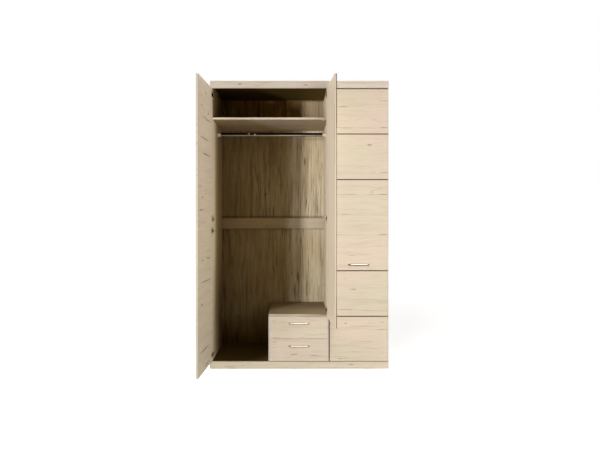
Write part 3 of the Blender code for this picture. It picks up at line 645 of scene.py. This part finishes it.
def chest_front(t, plain, tone):
    """Chest top, painted light: palest at its front right corner."""
    x, y, _ = t.split(plain)
    share = t.math("MULTIPLY", t.ramp(y, 0.45, 0.02), t.ramp(x, -0.45, 0.20))
    return t.product(tone, t.mix(share, WHITE, (2.2, 2.2, 2.2, 1)))


# Chest top at two thirds of the tone, painted shade
inner_wood("chest_top_panel", "XY", 18, 0.66, tint=chest_front)

# Bottom panel: darker tones at a quarter of their value, painted shade
FLOOR_TONES = (srgb(168, 144, 78), srgb(138, 114, 56), srgb(170, 144, 80), srgb(120, 94, 42))
LEVEL_BOARDS = {"bottom_panel": 0.25, "linen_shelf_fixed": 1.0, "linen_shelf_1": 1.0,
                "linen_shelf_2": 1.0, "linen_shelf_3": 1.0}
for number, (node, factor) in enumerate(LEVEL_BOARDS.items()):
    tones = FLOOR_TONES if node == "bottom_panel" else INNER
    inner_wood(node, "XY", 20 + number, factor, tones)

low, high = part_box("back_traverse")
TRAVERSE_TOP = high.z
# Painted shade along the traverse's top and bottom arrises; traverse and rear plinth paler at
# their left, darker at their right, painted light and shade
TRAVERSE_SHADES = [((0, 0, level), (ANY, ANY, 0.0050), 0.5) for level in (low.z, high.z)]
for number, (node, shades) in enumerate((("back_traverse", TRAVERSE_SHADES),
                                         ("plinth_rear", ()))):
    inner_wood(node, "X", 30 + number, 1.2, shades=shades,
               tint=sideways((1.34, 1.36, 1.52), (0.86, 0.88, 0.94)))


def back_painted_shade(t, plain, tone):
    """Back board's inner face, painted shade: darker and browner towards its foot and behind the
    hat compartment.
    """
    x, y, z = t.split(plain)
    low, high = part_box("back_panel")
    middle = (low.y + high.y) / 2
    rear = t.ramp(y, middle - SOFT_CHANGE, middle + SOFT_CHANGE)
    foot = t.mix(t.ramp(z, 0.36, 0.05), WHITE, (0.40, 0.30, 0.12, 1))
    hat = t.mix(t.ramp(z, 1.88, 1.90), WHITE, t.mix(
        t.ramp(x, 0.12, -0.12), (0.56, 0.50, 0.44, 1), (0.80, 0.58, 0.28, 1)))
    return t.mix(rear, t.product(t.product(tone, foot), hat), tone)


# Back board: painted shade at its foot, behind the hat compartment and in a line above the
# traverse
paint("back_panel", wood("oak back board", "Z", 33, BACK, BACK_MARKS, streaks=0.75,
                         dashes=0.50, cracks=1.0, bend=0.012, gloss=0.02, tint=back_painted_shade,
                         shades=[((0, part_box("back_panel")[0].y, TRAVERSE_TOP + 0.008),
                                  (ANY, 0.001, 0.009), 0.42)]))

LIGHT_BAND, DARK_BAND = srgb(134, 124, 108), srgb(12, 9, 4)
# Handles: the share of their height painted dark underneath, a painted shade
HANDLE_SHADES, HANDLE_SHADE = {"right_door_handle": 0.58}, 0.30  # height of the dark underside
# Hinge nickel: a near-black base, painted shade, with glints that are painted highlights
hinge_steel = metal("hinge nickel", srgb(26, 18, 7), 0.34, "Y", glints=srgb(250, 230, 182))

# Rail: two bands by height, painted reflections, and two painted highlights
chrome = metal("polished chrome", srgb(88, 78, 62), 0.40, "X",
               ((0.14, 0.36, LIGHT_BAND), (0.46, 1.20, DARK_BAND)),
               (((-0.402, 0.2893, 1.8070), (0.006, ANY, 0.004), 0.9),
                ((-0.353, 0.2893, 1.8000), (0.006, ANY, 0.005), 0.7)), 1.785, 0.030)
zinc = metal("bright zinc", srgb(228, 218, 196), 0.28)
screw_zinc = metal("screw zinc", srgb(250, 232, 190), 0.30, "Z")
runner_plastic = plastic("runner plastic", srgb(228, 226, 220), 0.4)
for node in NODES:
    if node.endswith("_handle"):
        low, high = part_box(node)
        paint(node, metal(f"{node} nickel", srgb(222, 207, 190), 0.48, "X",
                          ((-0.2, HANDLE_SHADES.get(node, HANDLE_SHADE), srgb(52, 37, 24)),), (),
                          low.z, high.z - low.z))
    elif "_hinge_" in node:
        paint(node, hinge_steel)
    elif node.startswith("rail_socket"):
        paint(node, zinc)
    elif node == "clothes_rail":
        paint(node, chrome)
    elif "_runner_" in node:
        paint(node, runner_plastic)

EDGING = 0.0005
EDGING_LOW, EDGING_HIGH = 0.0550, 2.1050
EDGING_EASE, EDGING_SIDE = 0.0006, 0.0002
ROUND_OFF = 0.0002


def new_piece(name, shape, material, body, smooth=False):
    """Object made of a built mesh, on a body."""
    mesh = bpy.data.meshes.new(name)
    shape.to_mesh(mesh)
    shape.free()
    for face in mesh.polygons:
        face.use_smooth = smooth
    mesh.materials.append(material)
    item = bpy.data.objects.new(name, mesh)
    bpy.context.scene.collection.objects.link(item)
    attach(item, body)


def soft_box(low, high):
    """Box with rounded edges."""
    shape = bmesh.new()
    bmesh.ops.create_cube(shape, size=1)
    middle = [(a + b) / 2 for a, b in zip(low, high)]
    bmesh.ops.scale(shape, vec=[b - a for a, b in zip(low, high)], verts=shape.verts)
    bmesh.ops.translate(shape, vec=middle, verts=shape.verts)
    bmesh.ops.bevel(shape, geom=shape.edges[:], offset=ROUND_OFF, segments=2,
                    affect="EDGES", profile=0.5)
    return shape


def edging(node, axis, seed, factor):
    """Edge band glued on the front edge of a board."""
    low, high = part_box(node)
    band = wood(f"oak {node} edging", axis, seed, toned(EDGE, factor), gloss=0.1)
    side, end = (EDGING_SIDE, EDGING_EASE) if axis == "X" else (EDGING_EASE, 0.0)
    shape = soft_box((low.x + side, low.y - EDGING, max(low.z + end, EDGING_LOW)),
                     (high.x - side, low.y, min(high.z - end, EDGING_HIGH)))
    new_piece(f"{node}_edging", shape, band, "carcass")


# Edge bands, made paler or darker by factor: painted light and shade
for number, (node, factor) in enumerate((
        ("hat_shelf", 1.08), ("chest_top_panel", 0.76), ("linen_shelf_fixed", 0.7),
        ("linen_shelf_1", 0.7), ("linen_shelf_2", 0.7), ("linen_shelf_3", 0.7))):
    edging(node, "X", 40 + number, factor)
for number, node in enumerate(("left_side_panel", "right_side_panel", "partition_panel",
                               "chest_side_panel")):
    edging(node, "Z", 50 + number, 0.7)

# Edge bands that narrow the gap between the drawer fronts
BAND, BAND_EASE = 0.0011, 0.0003
for name, top in (("lower", True), ("upper", False)):
    low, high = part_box(f"{name}_drawer_front")
    level = high.z if top else low.z - BAND
    shape = soft_box((low.x + BAND_EASE, DOOR_OUTER + BAND_EASE, level),
                     (high.x - BAND_EASE, DOOR_INNER - BAND_EASE, level + BAND))
    new_piece(f"{name}_drawer_front_band", shape, DRAWER_WOOD[name], f"{name}_drawer")


def add_turned(shape, place, direction, rings, sides=16, star=0.0, turn=0.0):
    """Add a turned form: rings of radius, height and recess (1 for the rim of a cross recess)."""
    frame_turn = Vector(direction).to_track_quat("Z", "Y").to_matrix()
    before = None
    for radius, height, recess in rings:
        ring = []
        for step in range(sides):
            angle = turn + 2 * math.pi * step / sides
            here = radius
            if recess and step % (sides // 4) != 0:
                here = radius * star
            point = Vector((here * math.cos(angle), here * math.sin(angle), height))
            ring.append(shape.verts.new(frame_turn @ point + Vector(place)))
        if before:
            for step in range(sides):
                after = (step + 1) % sides
                shape.faces.new((before[step], before[after], ring[after], ring[step]))
        before = ring
    shape.faces.new(before)


def screw_head(shape, place, direction, size, turn):
    """Pan head with a cross recess; size is its radius and height."""
    radius, height = size
    add_turned(shape, place, direction, (
        (radius, 0.0, 0), (radius, 0.35 * height, 0), (0.86 * radius, 0.78 * height, 0),
        (0.66 * radius, height, 0), (0.60 * radius, height, 1), (0.50 * radius, 0.30 * height, 1)),
        16, 0.34, turn)


def swung(point, direction, pivot, angle):
    """Place and direction on a door that stands open at rest."""
    turn = Matrix.Rotation(angle, 3, "Z")
    centre = Vector((*pivot, 0))
    return turn @ (Vector(point) - centre) + centre, turn @ Vector(direction)


# Hinge screws: two in each cup's wings, two in each cross plate and two on each arm.
# Rows: pivot, side that the cup lies on, angle at rest, face of the board, levels
HINGES = {
    "left": (LEFT_PIVOT, 1, -OPEN_ANGLE, LEFT_PANEL_FACE, (0.104, 1.035, 1.125, 2.056)),
    "middle": (MIDDLE_PIVOT, -1, OPEN_ANGLE, PARTITION_LEFT, (0.4425, 1.125, 2.056)),
    "right": (RIGHT_PIVOT, -1, 0.0, RIGHT_PANEL_FACE, (0.104, 1.035, 1.125, 2.056)),
}
CUP_WING_X, CUP_WING_TOP, CUP_SCREW_REACH = 0.0197, 0.0081, 0.0240
PLATE_SCREW_DEPTH, PLATE_TOP, PLATE_SCREW_REACH = 0.0468, 0.0023, 0.0185
ARM_SCREW_DEPTHS, ARM_TOP = (0.0375, 0.0560), 0.0083
CUP_SCREW, PLATE_SCREW, ARM_SCREW = (0.0033, 0.0012), (0.0036, 0.0015), (0.0040, 0.0014)
for side, (pivot, sign, angle, face, levels) in HINGES.items():
    for number, level in enumerate(levels, start=1):
        shape = bmesh.new()
        for up in (-1, 1):
            point, way = swung((pivot[0] + sign * CUP_WING_X, CUP_WING_TOP,
                                level + up * CUP_SCREW_REACH), (0, 1, 0), pivot, angle)
            screw_head(shape, point, way, CUP_SCREW, 0.4 * number + up)
        new_piece(f"{side}_door_cup_screws_{number}", shape, screw_zinc, f"{side}_door")
        shape = bmesh.new()
        for up in (-1, 1):
            screw_head(shape, (face + sign * PLATE_TOP, PLATE_SCREW_DEPTH,
                               level + up * PLATE_SCREW_REACH), (sign, 0, 0), PLATE_SCREW,
                       0.7 * number + up)
        for depth in ARM_SCREW_DEPTHS:
            screw_head(shape, (face + sign * ARM_TOP, depth, level), (sign, 0, 0), ARM_SCREW,
                       0.3 * number)
        new_piece(f"{side}_hinge_plate_screws_{number}", shape, screw_zinc, "carcass")

# Connectors in the underside of the fixed shelves
CONNECTOR_INSET, CONNECTOR_FRONT, CONNECTOR_REAR = 0.032, 0.040, 0.060
for node, left, right in (("hat_shelf", LEFT_PANEL_FACE, PARTITION_LEFT),
                          ("linen_shelf_fixed", PARTITION_RIGHT, RIGHT_PANEL_FACE)):
    low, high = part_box(node)
    shape = bmesh.new()
    for x in (left + CONNECTOR_INSET, right - CONNECTOR_INSET):
        for y in (low.y + CONNECTOR_FRONT, high.y - CONNECTOR_REAR):
            add_turned(shape, (x, y, low.z), (0, 0, -1), (
                (0.0088, 0.0, 0), (0.0088, 0.0006, 0), (0.0080, 0.0010, 0),
                (0.0052, 0.0010, 0), (0.0050, 0.0010, 1), (0.0042, 0.0003, 1)), 16, 0.3, x)
    new_piece(f"{node}_connectors", shape, zinc, "carcass")

# Pins that carry the loose shelves
PIN_INSET, PIN_DROP = 0.045, 0.0026
for number in (1, 2, 3):
    low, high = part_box(f"linen_shelf_{number}")
    shape = bmesh.new()
    for x, way in ((PARTITION_RIGHT, 1), (RIGHT_PANEL_FACE, -1)):
        for y in (low.y + PIN_INSET, high.y - PIN_INSET):
            add_turned(shape, (x, y, low.z - PIN_DROP), (way, 0, 0), (
                (0.0042, 0.0, 0), (0.0042, 0.0012, 0), (0.0025, 0.0016, 0), (0.0025, 0.0080, 0),
                (0.0018, 0.0088, 0)), 16)
    new_piece(f"linen_shelf_{number}_pins", shape, zinc, "carcass", True)

# Nails round the back board and along the partition
low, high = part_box("back_panel")
shape = bmesh.new()
NAIL_INSET, NAIL_STEP, NAIL_SIDES = 0.008, 0.14, 10
NAIL = ((0.0022, 0.0, 0), (0.0020, 0.0003, 0), (0.0010, 0.0006, 0))
rows = int((high.z - low.z - 2 * NAIL_INSET) / NAIL_STEP)
for step in range(rows + 1):
    z = low.z + NAIL_INSET + (high.z - low.z - 2 * NAIL_INSET) * step / rows
    for x in (low.x + NAIL_INSET, PARTITION_MIDDLE, high.x - NAIL_INSET):
        add_turned(shape, (x, high.y, z), (0, 1, 0), NAIL, NAIL_SIDES)
columns = int((high.x - low.x) / NAIL_STEP)
for step in range(1, columns):
    x = low.x + NAIL_INSET + (high.x - low.x - 2 * NAIL_INSET) * step / columns
    for z in (low.z + NAIL_INSET, high.z - NAIL_INSET):
        add_turned(shape, (x, high.y, z), (0, 1, 0), NAIL, NAIL_SIDES)
new_piece("back_panel_nails", shape, zinc, "carcass", True)

# Studio: a white floor that keeps a soft shadow, a white surround and soft lamps
FLOOR_HALF, FLOOR_LEVEL = 12.0, -0.0005
GLOW_NEAR, GLOW_FAR = (1.5, 0.9), (4.0, 1.0)  # distance from the middle and strength there


def stage_floor():
    """Large floor that shows white, and gives little light back to the pieces."""
    mesh = bpy.data.meshes.new("floor")
    half = FLOOR_HALF
    mesh.from_pydata([(-half, -half, 0), (half, -half, 0), (half, half, 0), (-half, half, 0)],
                     [], [(0, 1, 2, 3)])
    floor = bpy.data.objects.new("floor", mesh)
    floor.location.z = FLOOR_LEVEL
    bpy.context.scene.collection.objects.link(floor)
    material, t, _ = new_material("studio floor")
    material.node_tree.nodes.clear()
    out = t.add("ShaderNodeOutputMaterial")
    dull = t.add("ShaderNodeBsdfDiffuse")
    dull.inputs["Color"].default_value = (0.04, 0.03, 0.02, 1)
    matt = t.add("ShaderNodeBsdfDiffuse")
    matt.inputs["Color"].default_value = (0.8, 0.8, 0.8, 1)
    glow = t.add("ShaderNodeEmission")
    glow.inputs["Color"].default_value = (1, 1, 1, 1)
    span = t.add("ShaderNodeVectorMath", operation="LENGTH")
    t.join(t.add("ShaderNodeTexCoord").outputs["Object"], span.inputs[0])
    (near, weak), (far, full) = GLOW_NEAR, GLOW_FAR
    t.join(t.ramp(span.outputs["Value"], near, far, weak, full), glow.inputs["Strength"])
    both = t.add("ShaderNodeAddShader")
    t.join(matt.outputs[0], both.inputs[0])
    t.join(glow.outputs[0], both.inputs[1])
    pick = t.add("ShaderNodeMixShader")
    t.join(t.seen(), pick.inputs[0])
    t.join(dull.outputs[0], pick.inputs[1])
    t.join(both.outputs[0], pick.inputs[2])
    t.join(pick.outputs[0], out.inputs["Surface"])
    mesh.materials.append(material)
    floor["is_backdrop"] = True
    return floor


# Lamps: name, place, height aimed at, width, tallness, strength, colour and the group lit.
# At strength 1 a surface in the wardrobe's middle that faces the lamp shows its colour as written
COOL, PLAIN = (1, 1.09, 1.42), (1, 1, 1)
LAMPS = [
    ("key far", (-5.98, -7.72, 1.88), 18.0, 0.45, 0.4, 0.70, COOL, "inside"),
    ("key", (-3.28, -4.00, 1.70), 10.0, 0.25, 0.60, 0.40, COOL, "inside"),
    ("key left", (-2.84, -4.05, 0.40), 9.0, 0.20, 0.70, 0.26, COOL, "inside"),
    ("front", (1.2, -4.53, 0.30), 1.1, 2.0, 2.0, 0.64, PLAIN, "fronts"),
    ("front spot", (0.25, -4.50, 3.0), 1.1, 0.30, 0.30, 0.18, PLAIN, "fronts"),
    ("front low", (1.8, -3.20, 0.1), 0.2, 1.50, 0.40, 0.17, PLAIN, "fronts"),
    ("right side", (3.60, -2.90, 1.3), 1.1, 1.05, 2.2, 0.62, PLAIN, "right outer"),
    ("right panel", (3.60, -2.90, 1.3), 1.1, 1.05, 2.2, 0.52, PLAIN, "right panel"),
    ("left side", (-3.52, -2.96, 1.3), 1.1, 1.05, 2.2, 0.90, PLAIN, "left outer"),
    ("left panel", (-3.52, -2.96, 1.3), 1.1, 1.05, 2.2, 0.60, PLAIN, "left panel"),
    ("right fill", (3.72, -2.70, 1.3), 1.1, 1.05, 2.2, 0.24, PLAIN, "fronts"),
    ("left fill", (-3.52, -2.96, 1.3), 1.1, 1.05, 2.2, 0.05, PLAIN, "fronts"),
    ("rear right", (2.96, 3.52, 1.8), 1.1, 2.0, 2.6, 0.62, PLAIN, "pieces"),
    ("rear left", (-2.96, 3.52, 1.8), 1.1, 2.0, 2.6, 0.62, PLAIN, "pieces"),
    ("top", (0.0, 0.6, 5.2), 1.1, 1.0, 1.0, 0.5, PLAIN, "pieces"),
    ("floor", (-1.5, -4.3, 4.0), 1.1, 1.5, 1.5, 0.5, PLAIN, "floor"),
]
MIDDLE_HEIGHT = 1.1
WORLD = (0.02, (1, 0.6, 0.15))  # strength and colour of the surround for rays that don't see it

# Starts or parts of the names by which the pieces are sorted into the groups lit
FRONTS = ("cornice_rail", "plinth_front", "right_door", "drawer_front", "drawer_handle",
          "hat_shelf_edging", "chest_top_panel_edging")
OPEN_DOORS = ("left_door", "middle_door")
SIDE_PANELS = {"left": "left_side_panel", "right": "right_side_panel"}
# Pieces that throw no shadow from the farthest lamp
FARTHEST, SHADELESS = "key far", ("hat_shelf", "clothes_rail", "rail_socket")


def lit_collections(pieces, floor):
    """Collections of the pieces that a lamp may be limited to, and of those that shade it.

    Each side panel has a lamp of its own from its side, and the other side's outer lamp. The
    left panel itself, which the inside lamps would over-expose, isn't among the inside.
    """
    groups = {name: bpy.data.collections.new(f"lit {name}")
              for name in ("inside", "fronts", "left outer", "right outer", "left panel",
                           "right panel", "pieces", "floor", "shading")}
    groups["floor"].objects.link(floor)
    for item in pieces:
        name = item.name
        kinds = {"pieces"}
        if any(word in name for word in FRONTS):
            kinds.add("fronts")
        elif name.startswith(OPEN_DOORS):
            kinds.update(("left outer", "right outer"))
        else:
            if name != SIDE_PANELS["left"]:
                kinds.add("inside")
            if name.startswith((*SIDE_PANELS.values(), "partition_panel")):
                for side, panel in SIDE_PANELS.items():
                    kinds.add(f"{side} panel" if name.startswith(panel) else f"{side} outer")
        if not name.startswith(SHADELESS):
            kinds.add("shading")
        for kind in kinds:
            groups[kind].objects.link(item)
    return groups


def area_lamp(groups, name, place, aim_height, width, tallness, strength, colour, lights):
    """Soft rectangular lamp; strength counts at the middle of the wardrobe."""
    data = bpy.data.lights.new(name, "AREA")
    data.shape = "RECTANGLE"
    data.size = width
    data.size_y = tallness
    data.color = colour
    lamp = bpy.data.objects.new(name, data)
    lamp.location = place
    aim = Vector((0, 0, aim_height)) - lamp.location
    middle = Vector((0, 0, MIDDLE_HEIGHT)) - lamp.location
    data.energy = strength * math.pi ** 2 * middle.length_squared / math.cos(aim.angle(middle))
    lamp.rotation_euler = aim.to_track_quat("-Z", "Y").to_euler()
    bpy.context.scene.collection.objects.link(lamp)
    lamp.light_linking.receiver_collection = groups[lights]
    if name == FARTHEST:
        lamp.light_linking.blocker_collection = groups["shading"]


def studio(floor):
    """Lamps and world."""
    groups = lit_collections(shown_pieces(), floor)
    for row in LAMPS:
        area_lamp(groups, *row)
    strength, colour = WORLD
    world = bpy.data.worlds.new("studio")
    bpy.context.scene.world = world
    world.use_nodes = True
    t = Tree(world.node_tree)
    back = world.node_tree.nodes["Background"]
    seen = t.seen()
    t.join(t.math("MULTIPLY_ADD", seen, 1.0 - strength, strength), back.inputs["Strength"])
    t.join(t.mix(seen, (*colour, 1), WHITE), back.inputs["Color"])


studio(stage_floor())
bpy.context.scene.view_settings.view_transform = "Standard"
